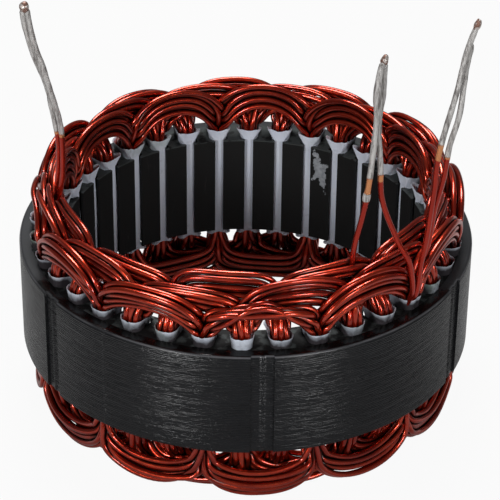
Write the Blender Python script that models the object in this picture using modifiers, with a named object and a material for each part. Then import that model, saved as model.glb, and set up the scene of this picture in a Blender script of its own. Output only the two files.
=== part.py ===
# Wound stator of a car alternator: a slotted ring of laminations, a paper liner in every
# slot, three phase windings laid in waves, and three pairs of lead wires.
# Metres, +Z up. The origin is on the bore's axis, where the lower end turns stand.

import math

import bmesh
import bpy
from mathutils import Vector

# Laminated core, sized outwards from the bore that the rotor turns in
SLOT_COUNT = 36
CORE_HEIGHT = 0.0313
BORE_RADIUS = 0.0511
SLOT_OPENING = 0.0025
TOOTH_TIP = 0.0007
TOOTH_SHOULDER = 0.0006
SLOT_WIDTH = 0.0056
SLOT_DEPTH = 0.0082
SLOT_CORNER = 0.0014
YOKE_WIDTH = 0.0034

# Shallow upright grooves in the core's outer face, each on the middle of a tooth
GROOVE_COUNT = 6
GROOVE_WIDTH = 0.0063
GROOVE_DEPTH = 0.0008
GROOVE_ANGLE = math.radians(-5)
ARC_STEPS = 9

# Slot liners: folded sheet, open at both ends, standing out of the core as cuffs
LINER_WALL = 0.00035
CUFF_HEIGHT = 0.0031
CUFF_CORNER_RISE = 0.0007

# Windings: three phases, each of two waves that share its slots
POLE_PITCH_SLOTS = 3
END_TURN_HEIGHT = 0.0175
END_TURN_UNDERSIDE = 0.0104
RING_SETBACK = 0.0009
RING_DEPTH = 0.0027
STRAND_GROOVE = 0.0005
FORK_RISE = 0.0021
FORK_GAP = 0.0002
FORK_SPREAD = 0.0013
RING_ENTRY_UNDERSIDE = 0.0068
RING_ENTRY_TOP = 0.0088
RING_ENTRY_INSIDE = 0.0046
RING_ENTRY_OUTSIDE = 0.0020

# Lead wires and the joint where the two wires of a pair are fused. Each pair is named by
# where it stands, with the slot that it rises beside and its height above the core.
LEAD_DIAMETER = 0.0015
RIGHT_LEAD_SLOT = 13
RIGHT_LEAD_HEIGHT = 0.0775
MIDDLE_LEAD_SLOT = 14
MIDDLE_LEAD_HEIGHT = 0.0735
LEFT_LEAD_SLOT = 26
LEFT_LEAD_HEIGHT = 0.0715
CLIMB_SLACK = 0.0010
LEAD_STEPS = 8
CURVE_STEPS = 12
TIP_WIDTH = 0.0036
TIP_LENGTH = 0.0046

# The gap between pieces that rest against each other
CLEARANCE = 0.0003

# Places that follow from the sizes above
CORE_BOTTOM = END_TURN_HEIGHT
CORE_TOP = CORE_BOTTOM + CORE_HEIGHT
SLOT_PITCH = math.tau / SLOT_COUNT
SLOT_TOP_RADIUS = BORE_RADIUS + TOOTH_TIP + TOOTH_SHOULDER
SLOT_BOTTOM_RADIUS = SLOT_TOP_RADIUS + SLOT_DEPTH
CORE_OUTER_RADIUS = SLOT_BOTTOM_RADIUS + YOKE_WIDTH
LINER_HALF_WIDTH = SLOT_WIDTH / 2 - CLEARANCE
LINER_INNER_RADIUS = SLOT_TOP_RADIUS + CLEARANCE
LINER_OUTER_RADIUS = SLOT_BOTTOM_RADIUS - CLEARANCE
LEG_HALF_WIDTH = LINER_HALF_WIDTH - LINER_WALL - CLEARANCE
LEG_INNER_RADIUS = LINER_INNER_RADIUS + LINER_WALL + CLEARANCE
LEG_OUTER_RADIUS = LINER_OUTER_RADIUS - LINER_WALL - CLEARANCE
LEG_DEPTH = (LEG_OUTER_RADIUS - LEG_INNER_RADIUS - CLEARANCE) / 2
LEG_CORNER = SLOT_CORNER - (LINER_WALL + 2 * CLEARANCE) * (2 - math.sqrt(2))
LEG_END = CUFF_HEIGHT + CUFF_CORNER_RISE + CLEARANCE
FORK_TOP = LEG_END + FORK_RISE
RING_INNER_RADIUS = BORE_RADIUS + RING_SETBACK
RING_PITCH = RING_DEPTH + CLEARANCE
SHOULDER = SLOT_PITCH * (RING_INNER_RADIUS + LEG_OUTER_RADIUS) / 2


def start_clean():
    for old in list(bpy.data.objects):
        bpy.data.objects.remove(old, do_unlink=True)


def make_collection(name):
    collection = bpy.data.collections.new(name)
    bpy.context.scene.collection.children.link(collection)
    return collection


def make_material(name, colour, roughness, metallic):
    material = bpy.data.materials.new(name)
    material.use_nodes = True
    shader = material.node_tree.nodes["Principled BSDF"]
    shader.inputs["Base Color"].default_value = (*colour, 1.0)
    shader.inputs["Roughness"].default_value = roughness
    shader.inputs["Metallic"].default_value = metallic
    material.diffuse_color = (*colour, 1.0)
    return material


def add_object(collection, name, data, material):
    if not data.materials:
        data.materials.append(material)
    piece = bpy.data.objects.new(name, data)
    collection.objects.link(piece)
    return piece


def on_ring(angle, radius, height=0.0):
    """A point by its angle, turned from +Y towards +X, its radius and its height."""
    return Vector((radius * math.sin(angle), radius * math.cos(angle), height))


def beside(angle, sideways, radius, height=0.0):
    """A point on a slot's own straight axes: sideways across the slot, radius along it."""
    across = Vector((math.cos(angle), -math.sin(angle), 0.0)) * sideways
    return on_ring(angle, radius, height) + across


# The core


def slot_half_outline():
    """One side of a slot, from its opening at the bore to its bottom, as (sideways, radius)."""
    return [
        (SLOT_OPENING / 2, BORE_RADIUS),
        (SLOT_OPENING / 2, BORE_RADIUS + TOOTH_TIP),
        (SLOT_WIDTH / 2, SLOT_TOP_RADIUS),
        (SLOT_WIDTH / 2, SLOT_BOTTOM_RADIUS - SLOT_CORNER),
        (SLOT_WIDTH / 2 - SLOT_CORNER, SLOT_BOTTOM_RADIUS),
    ]


def bore_outline():
    half = slot_half_outline()
    points = []
    for slot in range(SLOT_COUNT):
        angle = slot * SLOT_PITCH
        points += [beside(angle, -side, radius) for side, radius in half]
        points += [beside(angle, side, radius) for side, radius in reversed(half)]
    return points


def rim_outline():
    groove_half_angle = math.asin(GROOVE_WIDTH / 2 / CORE_OUTER_RADIUS)
    groove_pitch = math.tau / GROOVE_COUNT
    arc = groove_pitch - 2 * groove_half_angle
    points = []
    for groove in range(GROOVE_COUNT):
        middle = GROOVE_ANGLE + groove * groove_pitch
        floor = CORE_OUTER_RADIUS * math.cos(groove_half_angle) - GROOVE_DEPTH
        points.append(beside(middle, -GROOVE_WIDTH / 2, floor))
        points.append(beside(middle, GROOVE_WIDTH / 2, floor))
        for step in range(ARC_STEPS + 1):
            angle = middle + groove_half_angle + arc * step / ARC_STEPS
            points.append(on_ring(angle, CORE_OUTER_RADIUS))
    return points


def add_poly_spline(curve, points, closed):
    spline = curve.splines.new("POLY")
    spline.points.add(len(points) - 1)
    for place, point in zip(spline.points, points):
        place.co = (*point, 1.0)
    spline.use_cyclic_u = closed


def make_core(collection, material):
    outline = bpy.data.curves.new("lamination_stack", "CURVE")
    outline.dimensions = "2D"
    outline.fill_mode = "BOTH"
    outline.extrude = CORE_HEIGHT / 2
    add_poly_spline(outline, rim_outline(), True)
    add_poly_spline(outline, bore_outline(), True)
    core = add_object(collection, "lamination_stack", outline, material)
    core.location.z = CORE_BOTTOM + CORE_HEIGHT / 2


# The slot liners


def liner_outline():
    """The liner's outer face across the slot, as (sideways, radius, share of the corner rise)."""
    inner_side = [
        (0.0, LINER_INNER_RADIUS, 0.0),
        (LINER_HALF_WIDTH, LINER_INNER_RADIUS, 1.0),
        (LINER_HALF_WIDTH, LINER_OUTER_RADIUS - SLOT_CORNER, 0.4),
        (LINER_HALF_WIDTH - SLOT_CORNER, LINER_OUTER_RADIUS, 0.2),
    ]
    other_side = [(-side, radius, rise) for side, radius, rise in reversed(inner_side[1:])]
    return inner_side + other_side


def liner_mesh(material):
    """An open sleeve along the slot at angle 0, which Solidify thickens inwards."""
    mesh = bpy.data.meshes.new("slot_liner")
    work = bmesh.new()
    lower, upper = [], []
    for side, radius, rise in liner_outline():
        reach = CUFF_HEIGHT + CUFF_CORNER_RISE * rise
        lower.append(work.verts.new((side, radius, CORE_BOTTOM - reach)))
        upper.append(work.verts.new((side, radius, CORE_TOP + reach)))
    count = len(lower)
    for index in range(count):
        after = (index + 1) % count
        work.faces.new((lower[index], lower[after], upper[after], upper[index]))
    work.normal_update()
    work.to_mesh(mesh)
    work.free()
    mesh.materials.append(material)
    return mesh


def make_liners(collection, material):
    mesh = liner_mesh(material)
    for slot in range(SLOT_COUNT):
        liner = add_object(collection, f"slot_liner_{slot:02d}", mesh, material)
        liner.rotation_euler.z = -slot * SLOT_PITCH
        wall = liner.modifiers.new("wall", "SOLIDIFY")
        wall.thickness = LINER_WALL
        wall.offset = -1.0
        wall.use_even_offset = True


# The windings


def strand_section(ridges):
    """One section of a wave, as (share of the way from its underside to its top, depth share).

    The lobed face shows the strands as ridges, and the other face is flat.
    """
    steps = 2 * (ridges - 1)
    lobed = [(step / steps, "groove" if step % 2 else "ridge") for step in range(steps + 1)]
    return lobed + [(1.0, "flat"), (0.0, "flat")]


def arch_stations(leg, ring):
    """Half an arch of end turns, from the slot to the crown.

    Each station is (inside, underside), (outside, top), the radii of its two faces, and how
    much narrower its outer face is on each side. Inside and outside are measured along the
    ring from the slot, towards the arch's middle.
    """
    leg_inner, leg_outer, corner = leg
    ring_inner, ring_outer = ring
    fork_underside = (LEG_END + FORK_TOP) / 2
    return [
        (
            (LEG_HALF_WIDTH, LEG_END),
            (-LEG_HALF_WIDTH, LEG_END),
            (leg_inner, leg_outer),
            corner,
        ),
        (
            (LEG_HALF_WIDTH + FORK_SPREAD, fork_underside),
            (FORK_GAP, FORK_TOP),
            (leg_inner, leg_outer),
            0.0,
        ),
        (
            (RING_ENTRY_INSIDE, RING_ENTRY_UNDERSIDE),
            (RING_ENTRY_OUTSIDE, RING_ENTRY_TOP),
            (ring_inner, ring_outer),
            0.0,
        ),
        (
            (SHOULDER, END_TURN_UNDERSIDE),
            (SHOULDER, END_TURN_HEIGHT),
            (ring_inner, ring_outer),
            0.0,
        ),
    ]


def section_points(station, section, lobed_outside, slot_angle, turn, upwards):
    """A station's points in space. turn is +1 on the arch's first half and -1 on its second."""
    (inside, underside), (outside, top), (inner, outer), corner = station
    points = []
    for share, face in section:
        rise = share if upwards else 1.0 - share
        along = inside + (outside - inside) * rise
        reach = underside + (top - underside) * rise
        on_outer_face = lobed_outside != (face == "flat")
        radius = outer if on_outer_face else inner
        if on_outer_face:
            along -= corner * (1 - 2 * rise)
        if face == "groove":
            radius += -STRAND_GROOVE if lobed_outside else STRAND_GROOVE
        height = CORE_TOP + reach if upwards else CORE_BOTTOM - reach
        points.append(on_ring(slot_angle + turn * along / radius, radius, height))
    return points


def wave_sections(first_slot, leg, ring, ridges, lobed_outside):
    """Every section of one wave, all the way round: arch over, leg down, arch under, leg up."""
    section = strand_section(ridges)
    stations = arch_stations(leg, ring)
    rings = []
    for arch in range(SLOT_COUNT // POLE_PITCH_SLOTS):
        upwards = arch % 2 == 0
        start = (first_slot + arch * POLE_PITCH_SLOTS) * SLOT_PITCH
        end = start + POLE_PITCH_SLOTS * SLOT_PITCH
        for station in stations:
            rings.append(section_points(station, section, lobed_outside, start, 1, upwards))
        for station in reversed(stations):
            rings.append(section_points(station, section, lobed_outside, end, -1, upwards))
    return rings


def loft_ring(name, rings):
    """A closed skin over sections that run round in a loop."""
    mesh = bpy.data.meshes.new(name)
    work = bmesh.new()
    loops = [[work.verts.new(point) for point in ring] for ring in rings]
    for index, loop in enumerate(loops):
        after = loops[(index + 1) % len(loops)]
        for corner in range(len(loop)):
            beyond = (corner + 1) % len(loop)
            work.faces.new((loop[corner], loop[beyond], after[beyond], after[corner]))
    bmesh.ops.recalc_face_normals(work, faces=work.faces)
    work.to_mesh(mesh)
    work.free()
    mesh.shade_smooth()
    mesh.set_sharp_from_angle(angle=math.radians(40))
    return mesh


def ring_faces(ring):
    """The inner and outer radius of one phase's ring of end turns."""
    inner = RING_INNER_RADIUS + ring * RING_PITCH
    return inner, inner + RING_DEPTH


def make_windings(collection, material):
    # Phase letter, its first slot, its ring counted outwards, the ridges that show,
    # and whether they show on the ring's outer face
    phases = [("u", 2, 0, 3, False), ("v", 0, 1, 2, True), ("w", 1, 2, 3, True)]
    outer_leg = (LEG_OUTER_RADIUS - LEG_DEPTH, LEG_OUTER_RADIUS, LEG_CORNER)
    inner_leg = (LEG_INNER_RADIUS, LEG_INNER_RADIUS + LEG_DEPTH, 0.0)
    for letter, first_slot, ring, ridges, lobed_outside in phases:
        waves = [("a", first_slot, outer_leg), ("b", first_slot + POLE_PITCH_SLOTS, inner_leg)]
        for wave, start, leg in waves:
            name = f"phase_{letter}_wave_{wave}"
            rings = wave_sections(start, leg, ring_faces(ring), ridges, lobed_outside)
            add_object(collection, name, loft_ring(name, rings), material)


# The lead wires


def lead_point(slot, sideways, radius, height):
    """A point beside a slot: sideways along the ring, height above the core's top face."""
    return on_ring(slot * SLOT_PITCH + sideways / radius, radius, CORE_TOP + height)


def seat_on_arch(sideways):
    """The height at which a wire's square end clears the arch top that it stands on."""
    far_side = abs(sideways) + LEAD_DIAMETER / 2
    fork = (FORK_GAP, FORK_TOP)
    entry = (RING_ENTRY_OUTSIDE, RING_ENTRY_TOP)
    shoulder = (SHOULDER, END_TURN_HEIGHT)
    start, end = (fork, entry) if far_side < RING_ENTRY_OUTSIDE else (entry, shoulder)
    slope = (end[1] - start[1]) / (end[0] - start[0])
    return start[1] + (far_side - start[0]) * slope + CLEARANCE


def lead_route(slot, feet, radius, height, bends):
    """The feet are placed as they are, and the bends are shares of the lead's height."""
    points = [lead_point(slot, *foot) for foot in feet]
    for side, out, up in bends:
        points.append(lead_point(slot, side * height, radius + out * height, up * height))
    return points


def lead_radii():
    """Where leads stand: in the inner ring, in the outer ring, and just outside it."""
    inner_ring = ring_faces(0)
    outer_ring = ring_faces(2)
    outermost = max(outer_ring[1], LEG_OUTER_RADIUS)
    outside = outermost + CLEARANCE + LEAD_DIAMETER / 2
    return sum(inner_ring) / 2, sum(outer_ring) / 2, outside


def right_routes():
    """Both wires rise outside the outer ring and lean away from the bore."""
    _, outer, outside = lead_radii()
    first_foot = (0.0018, outside, LEG_END + CLEARANCE)
    first_bends = [
        (0.005, 0.0, 0.181),
        (-0.025, 0.003, 0.297),
        (-0.046, 0.0, 0.446),
        (-0.065, -0.003, 0.585),
        (-0.116, 0.027, 0.800),
        (-0.168, 0.058, 1.0),
    ]
    second_start = -0.0043
    second_foot = (second_start, outer, seat_on_arch(second_start))
    second_bends = [
        (-0.065, -0.010, 0.310),
        (-0.075, 0.005, 0.434),
        (-0.103, 0.018, 0.587),
        (-0.130, 0.034, 0.723),
        (-0.181, 0.039, 0.903),
        (-0.196, 0.054, 1.0),
    ]
    slot, height = RIGHT_LEAD_SLOT, RIGHT_LEAD_HEIGHT
    return [
        lead_route(slot, [first_foot], outside, height, first_bends),
        lead_route(slot, [second_foot], outside, height, second_bends),
    ]


def middle_routes():
    """One wire rises from the inner ring, the other climbs over the outer ring to meet it."""
    inner, _, outside = lead_radii()
    start = 0.0067
    first_foot = (start, inner, seat_on_arch(start))
    first_bends = [
        (0.093, 0.007, 0.305),
        (0.067, 0.014, 0.464),
        (0.039, 0.020, 0.690),
        (0.019, 0.022, 0.841),
        (0.008, 0.020, 1.0),
    ]
    over_crown = END_TURN_HEIGHT + CLEARANCE + LEAD_DIAMETER / 2 + CLIMB_SLACK
    climb = [
        (0.0032, outside, (RING_ENTRY_UNDERSIDE + RING_ENTRY_TOP) / 2),
        (0.0045, outside, END_TURN_HEIGHT - LEAD_DIAMETER),
        (0.0056, outside - CLIMB_SLACK, over_crown),
    ]
    second_bends = [
        (0.093, -0.046, 0.327),
        (0.122, -0.084, 0.472),
        (0.131, -0.106, 0.653),
        (0.133, -0.125, 0.816),
        (0.117, -0.120, 1.0),
    ]
    slot, height = MIDDLE_LEAD_SLOT, MIDDLE_LEAD_HEIGHT
    return [
        lead_route(slot, [first_foot], inner, height, first_bends),
        lead_route(slot - 1, climb, outside, height, second_bends),
    ]


def left_routes():
    """Both wires rise from the valley of the inner ring and lean out over the core."""
    inner = lead_radii()[0]
    first_bends = [
        (-0.017, -0.015, 0.262),
        (-0.017, -0.035, 0.336),
        (-0.017, -0.024, 0.490),
        (-0.015, 0.008, 0.635),
        (-0.014, 0.084, 1.0),
    ]
    second_bends = [
        (0.018, -0.004, 0.262),
        (0.017, -0.011, 0.350),
        (0.017, -0.003, 0.517),
        (0.015, 0.022, 0.643),
        (0.014, 0.098, 1.0),
    ]
    routes = []
    for start, bends in ((-0.0012, first_bends), (0.0013, second_bends)):
        foot = (start, inner, seat_on_arch(start))
        routes.append(lead_route(LEFT_LEAD_SLOT, [foot], inner, LEFT_LEAD_HEIGHT, bends))
    return routes


def smooth_route(points, steps):
    """A smooth curve through the route's own points, as evenly spaced points."""
    ends = [points[0] * 2 - points[1], *points, points[-1] * 2 - points[-2]]
    fine = []
    for before, start, stop, after in zip(ends, ends[1:], ends[2:], ends[3:]):
        for step in range(CURVE_STEPS):
            t = step / CURVE_STEPS
            pull = (stop - before) / 2 * t * (1 - t) ** 2 - (after - start) / 2 * t**2 * (1 - t)
            blend = t * t * (3 - 2 * t)
            fine.append(start * (1 - blend) + stop * blend + pull)
    fine.append(points[-1])
    reach = [0.0]
    for first, second in zip(fine, fine[1:]):
        reach.append(reach[-1] + (second - first).length)
    even, index = [], 0
    for step in range(steps + 1):
        wanted = reach[-1] * step / steps
        while index < len(fine) - 2 and reach[index + 1] < wanted:
            index += 1
        share = (wanted - reach[index]) / (reach[index + 1] - reach[index])
        even.append(fine[index].lerp(fine[index + 1], min(share, 1.0)))
    return even


def make_lead(collection, material, name, points):
    wire = bpy.data.curves.new(name, "CURVE")
    wire.dimensions = "3D"
    wire.bevel_depth = LEAD_DIAMETER / 2
    wire.bevel_resolution = 1
    wire.use_fill_caps = True
    add_poly_spline(wire, smooth_route(points, LEAD_STEPS), False)
    add_object(collection, name, wire, material)


def make_tip(collection, material, name, ends, direction):
    """The fused bead that joins a pair's two ends, a clearance beyond them."""
    mesh = bpy.data.meshes.new(name)
    work = bmesh.new()
    bmesh.ops.create_uvsphere(work, u_segments=8, v_segments=5, radius=0.5)
    bmesh.ops.scale(work, vec=(TIP_WIDTH, TIP_WIDTH, TIP_LENGTH), verts=work.verts)
    work.to_mesh(mesh)
    work.free()
    mesh.shade_smooth()
    tip = add_object(collection, name, mesh, material)
    tip.rotation_mode = "QUATERNION"
    tip.rotation_quaternion = direction.to_track_quat("Z", "Y")
    tip.location = (ends[0] + ends[1]) / 2 + direction * (TIP_LENGTH / 2 + CLEARANCE)


def make_leads(collection, wire, copper):
    pairs = {"right": right_routes(), "middle": middle_routes(), "left": left_routes()}
    for pair, routes in pairs.items():
        for letter, points in zip("ab", routes):
            make_lead(collection, wire, f"lead_{pair}_{letter}", points)
        ends = [points[-1] for points in routes]
        ways = [(points[-1] - points[-2]).normalized() for points in routes]
        make_tip(collection, copper, f"lead_tip_{pair}", ends, (ways[0] + ways[1]).normalized())


def main():
    start_clean()
    stator = make_collection("wound_stator")
    black_paint = make_material("black_painted_steel", (0.012, 0.013, 0.016), 0.35, 0.0)
    paper = make_material("insulating_paper", (0.55, 0.53, 0.60), 0.6, 0.0)
    enamel = make_material("red_wire_enamel", (0.20, 0.028, 0.012), 0.25, 0.0)
    tinned = make_material("tinned_wire", (0.50, 0.49, 0.50), 0.4, 0.9)
    copper = make_material("fused_copper", (0.50, 0.20, 0.10), 0.5, 0.9)
    make_core(stator, black_paint)
    make_liners(stator, paper)
    make_windings(stator, enamel)
    make_leads(stator, tinned, copper)


main()
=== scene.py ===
import math

import bmesh
import bpy
import numpy as np
from mathutils import Matrix, Vector


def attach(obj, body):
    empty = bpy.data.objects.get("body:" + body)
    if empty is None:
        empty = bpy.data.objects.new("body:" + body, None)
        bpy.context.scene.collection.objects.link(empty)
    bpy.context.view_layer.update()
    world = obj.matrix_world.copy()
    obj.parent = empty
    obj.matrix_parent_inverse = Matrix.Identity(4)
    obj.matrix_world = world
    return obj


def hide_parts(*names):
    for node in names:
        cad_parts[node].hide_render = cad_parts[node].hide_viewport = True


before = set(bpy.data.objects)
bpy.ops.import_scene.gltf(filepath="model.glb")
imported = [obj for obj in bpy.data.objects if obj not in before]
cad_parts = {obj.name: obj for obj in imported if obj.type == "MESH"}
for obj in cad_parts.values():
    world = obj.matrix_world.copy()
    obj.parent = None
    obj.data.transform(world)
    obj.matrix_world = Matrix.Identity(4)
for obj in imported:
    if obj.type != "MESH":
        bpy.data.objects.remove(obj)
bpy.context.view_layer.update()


# The lamination core
# Thin steel rings are stacked, pressed together and welded along a seam in the outer
# face, then painted black. Teeth point inwards between the 36 slots.

SLOT_COUNT = 36
SLOT_PITCH = math.tau / SLOT_COUNT
CORE_BOTTOM = 0.0175
CORE_TOP = 0.0488
CORE_MIDDLE = (CORE_TOP + CORE_BOTTOM) / 2
CORE_HALF = (CORE_TOP - CORE_BOTTOM) / 2
CORE_RADIUS = 0.0640
BORE_RADIUS = 0.0511
SLOT_OPENING = 0.0025
TOOTH_TIP = 0.0007
SLOT_TOP_RADIUS = 0.0524
SLOT_BOTTOM_RADIUS = 0.0606
SLOT_WIDTH = 0.0056
SLOT_CORNER = 0.0014
GROOVE_WIDTH = 0.0063
GROOVE_DEPTH = 0.0006
GROOVE_SLOT_STEP = 6
# Half of a slot's flat bottom and half of a groove, as angles seen from the axis
BOTTOM_ANGLE = math.atan2(SLOT_WIDTH / 2 - SLOT_CORNER, SLOT_BOTTOM_RADIUS)
GROOVE_ANGLE = math.asin(GROOVE_WIDTH / 2 / CORE_RADIUS)
RIM_ROUNDING = 0.0008
WELD_WIDTH = 0.0013
WELD_HEIGHT = 0.00028
WELD_BEAD = 0.0009
SEAM_ANGLE = math.radians(215.3)
SHEET_PITCH = 0.00055
SHEET_SWAY = 0.00088
SMEAR_MIDDLE = (0.0214, 0.0460, 0.0411)
SMEAR_ANGLE = math.radians(25)
# The next tooth stays clean: the smear ends at this place along X
SMEAR_LIMIT = SMEAR_MIDDLE[0] - 0.0043
# The smear's two crossing strokes: half the length, half the width, and the way across and up
SMEAR_STROKES = [(0.0078, 0.0017, (0.294, -0.956)), (0.0042, 0.0013, (0.582, 0.813))]


class Signal:
    """A number or colour from one node, which can be added, multiplied and so on."""

    def __init__(self, finish, socket):
        self.finish = finish
        self.socket = socket

    def maths(self, operation, first, second):
        return self.finish.node("ShaderNodeMath", {"operation": operation}, {0: first, 1: second})

    def pingpong(self, size):
        """Rises to size and falls to 0, over and over."""
        return self.maths("PINGPONG", self, size)

    def __add__(self, other):
        return self.maths("ADD", self, other)

    def __sub__(self, other):
        return self.maths("SUBTRACT", self, other)

    def __mul__(self, other):
        return self.maths("MULTIPLY", self, other)

    def __rsub__(self, other):
        return self.maths("SUBTRACT", other, self)

    __radd__ = __add__
    __rmul__ = __mul__


class Finish:
    """A material: its Principled shader, and the nodes that feed it."""

    def __init__(self, name, **constants):
        self.material = bpy.data.materials.new(name)
        self.material.use_nodes = True
        self.tree = self.material.node_tree
        self.shader = self.tree.nodes["Principled BSDF"]
        for socket, value in constants.items():
            self.shader.inputs[socket.replace("_", " ")].default_value = value

    def node(self, kind, settings=None, inputs=None, output=0):
        """Adds a node, sets it up, then fills or links its sockets, and returns one output."""
        made = self.tree.nodes.new(kind)
        for setting, value in (settings or {}).items():
            if setting == "stops":
                self.set_stops(made.color_ramp, value)
            else:
                setattr(made, setting, value)
        for socket, value in (inputs or {}).items():
            self.feed(made.inputs[socket], value)
        return Signal(self, made.outputs[output])

    def set_stops(self, ramp, stops):
        while len(ramp.elements) < len(stops):
            ramp.elements.new(1.0)
        for element, (place, level) in zip(ramp.elements, stops):
            element.position = place
            element.color = (level, level, level, 1.0)

    def feed(self, socket, value):
        if isinstance(value, Signal):
            self.tree.links.new(value.socket, socket)
        else:
            socket.default_value = value

    def place(self, stretch=(1.0, 1.0, 1.0)):
        """The point on the object, in metres, stretched along its axes."""
        point = self.node("ShaderNodeTexCoord", output=3)
        return self.node(
            "ShaderNodeMapping", {"vector_type": "POINT"}, {"Vector": point, "Scale": stretch}
        )

    def axis(self, point, number):
        """One coordinate of a point: number 0 is x, 1 is y and 2 is z."""
        return self.node("ShaderNodeSeparateXYZ", None, {0: point}, number)

    def dot(self, first, second):
        values = {0: first, 1: second}
        return self.node("ShaderNodeVectorMath", {"operation": "DOT_PRODUCT"}, values, 1)

    def noise(self, size, detail=3.0, roughness=0.5, stretch=(1.0, 1.0, 1.0)):
        """Cloudy noise whose features are about as large as size, in metres."""
        values = {
            "Vector": self.place(stretch),
            "Scale": 1.0 / size,
            "Detail": detail,
            "Roughness": roughness,
        }
        return self.node("ShaderNodeTexNoise", {"noise_dimensions": "3D"}, values)

    def levels(self, signal, *stops):
        """Maps a signal through a ramp of (place, level) stops."""
        return self.node("ShaderNodeValToRGB", {"stops": stops}, {0: signal})

    def fade(self, signal, start, stop):
        """0 up to start, 1 from stop on, and straight between them."""
        return self.node("ShaderNodeMapRange", None, {0: signal, 1: start, 2: stop, 3: 0.0, 4: 1.0})

    def blend(self, share, first, second):
        """A colour that goes from the first to the second."""
        return self.node("ShaderNodeMix", {"data_type": "RGBA"}, {0: share, 6: first, 7: second}, 2)

    def attribute(self, name):
        return self.node("ShaderNodeAttribute", {"attribute_name": name}, output=2)

    def paint(self, socket, value):
        self.feed(self.shader.inputs[socket], value)

    def relief(self, height, depth, strength=1.0, below=None):
        """A bump of the given depth in metres, on top of another one if it is given."""
        values = {"Height": height, "Distance": depth, "Strength": strength}
        if below is not None:
            values["Normal"] = below
        return self.node("ShaderNodeBump", None, values)


def rgb(red, green, blue):
    return (red, green, blue, 1.0)


def grid_faces(rows, columns, closed_rows, closed_columns):
    """The four-cornered faces of a grid of points, as whole arrays of point numbers."""
    row = np.arange(rows if closed_rows else rows - 1)[:, None]
    column = np.arange(columns if closed_columns else columns - 1)[None, :]
    after_row = (row + 1) % rows
    after_column = (column + 1) % columns
    corners = (
        row * columns + column,
        row * columns + after_column,
        after_row * columns + after_column,
        after_row * columns + column,
    )
    return np.stack(corners, -1).reshape(-1, 4)


def add_piece(name, grids, finishes, closed=(False, False), merge=0.0, marks=None, worn_finish_and_rim_highlight=None):
    """Makes one mesh object of grids of points, each an array of rows x columns x 3.

    marks holds values for every point, in the grids' order, kept as mesh attributes.
    worn_finish_and_rim_highlight gives the number of each grid's finish, where there is more than one.
    """
    points, faces, kinds, first = [], [], [], 0
    for grid, kind in zip(grids, worn_finish_and_rim_highlight or [0] * len(grids)):
        points.append(grid.reshape(-1, 3))
        faces.append(grid_faces(grid.shape[0], grid.shape[1], *closed) + first)
        kinds.append(np.full(len(faces[-1]), kind))
        first += grid.shape[0] * grid.shape[1]
    mesh = bpy.data.meshes.new(name)
    mesh.from_pydata(np.concatenate(points), [], np.concatenate(faces))
    for finish in finishes:
        mesh.materials.append(finish.material)
    mesh.polygons.foreach_set("material_index", np.concatenate(kinds).astype(np.int32))
    for mark, values in (marks or {}).items():
        mesh.attributes.new(mark, "FLOAT", "POINT").data.foreach_set("value", values.ravel())
    if merge:
        work = bmesh.new()
        work.from_mesh(mesh)
        bmesh.ops.remove_doubles(work, verts=work.verts, dist=merge)
        bmesh.ops.recalc_face_normals(work, faces=work.faces)
        work.to_mesh(mesh)
        work.free()
    mesh.shade_smooth()
    mesh.set_sharp_from_angle(angle=math.radians(50))
    piece = bpy.data.objects.new(name, mesh)
    bpy.context.scene.collection.objects.link(piece)
    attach(piece, "root")
    return piece


def around(angle, radius, height):
    """Points by angle, turned from +Y towards +X, radius and height, as one array."""
    angle, radius, height = np.broadcast_arrays(angle, radius, height)
    return np.stack((radius * np.sin(angle), radius * np.cos(angle), height), -1)


def sector_angles():
    """The core's columns in every sector: slot centre, slot corner, groove edges and weld."""
    half = SLOT_PITCH / 2
    groove = half - GROOVE_ANGLE
    weld = math.atan2(WELD_WIDTH / 2, CORE_RADIUS)
    edge, step = math.radians(0.03), math.radians(0.9)
    left = [0.0, BOTTOM_ANGLE / 2, BOTTOM_ANGLE, (BOTTOM_ANGLE + groove) / 2]
    left += [groove - edge, groove + edge, groove + step, groove + 2 * step]
    left += [half - weld, half - weld / 2]
    right = [SLOT_PITCH - angle for angle in reversed(left[1:])]
    return np.array(left + [half] + right)


def rim_radius(angle):
    """The outer radius: a circle, with a flat groove at every sixth tooth and a weld in it."""
    pitch = GROOVE_SLOT_STEP * SLOT_PITCH
    off_centre = np.abs((angle + SLOT_PITCH / 2 + pitch / 2) % pitch - pitch / 2)
    floor = (CORE_RADIUS * math.cos(GROOVE_ANGLE) - GROOVE_DEPTH) / np.cos(off_centre)
    off_weld = off_centre * CORE_RADIUS / (WELD_WIDTH / 2)
    weld = WELD_HEIGHT * np.clip(1 - off_weld ** 2, 0.0, 1.0)
    return np.where(off_centre < GROOVE_ANGLE, floor + weld, CORE_RADIUS)


def core_rim_band():
    """The yoke carried round: a section of (depth below the rim, height) at every column."""
    angles = (np.arange(SLOT_COUNT)[:, None] * SLOT_PITCH + sector_angles()[None, :]).ravel()
    in_slot = np.abs((angles + SLOT_PITCH / 2) % SLOT_PITCH - SLOT_PITCH / 2)
    inner = SLOT_BOTTOM_RADIUS / np.cos(np.minimum(in_slot, BOTTOM_ANGLE))
    outer = rim_radius(angles)
    bend = np.radians(np.array([0.0, 30.0, 60.0, 90.0]))
    depth = RIM_ROUNDING * (1 - np.sin(bend))
    top = CORE_TOP - RIM_ROUNDING * (1 - np.cos(bend))
    heights = np.linspace(CORE_TOP - RIM_ROUNDING, CORE_BOTTOM + RIM_ROUNDING, 8)[1:-1]
    column_depth = np.concatenate((depth, np.zeros(len(heights)), depth[::-1]))
    column_height = np.concatenate((top, heights, CORE_TOP + CORE_BOTTOM - top[::-1]))
    rim = around(angles[:, None], outer[:, None] - column_depth[None, :], column_height[None, :])
    upper = around(angles, inner, CORE_TOP)[:, None]
    lower = around(angles, inner, CORE_BOTTOM)[:, None]
    band = np.concatenate((upper, rim, lower), 1)
    return np.concatenate((band, band[:1]))


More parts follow.
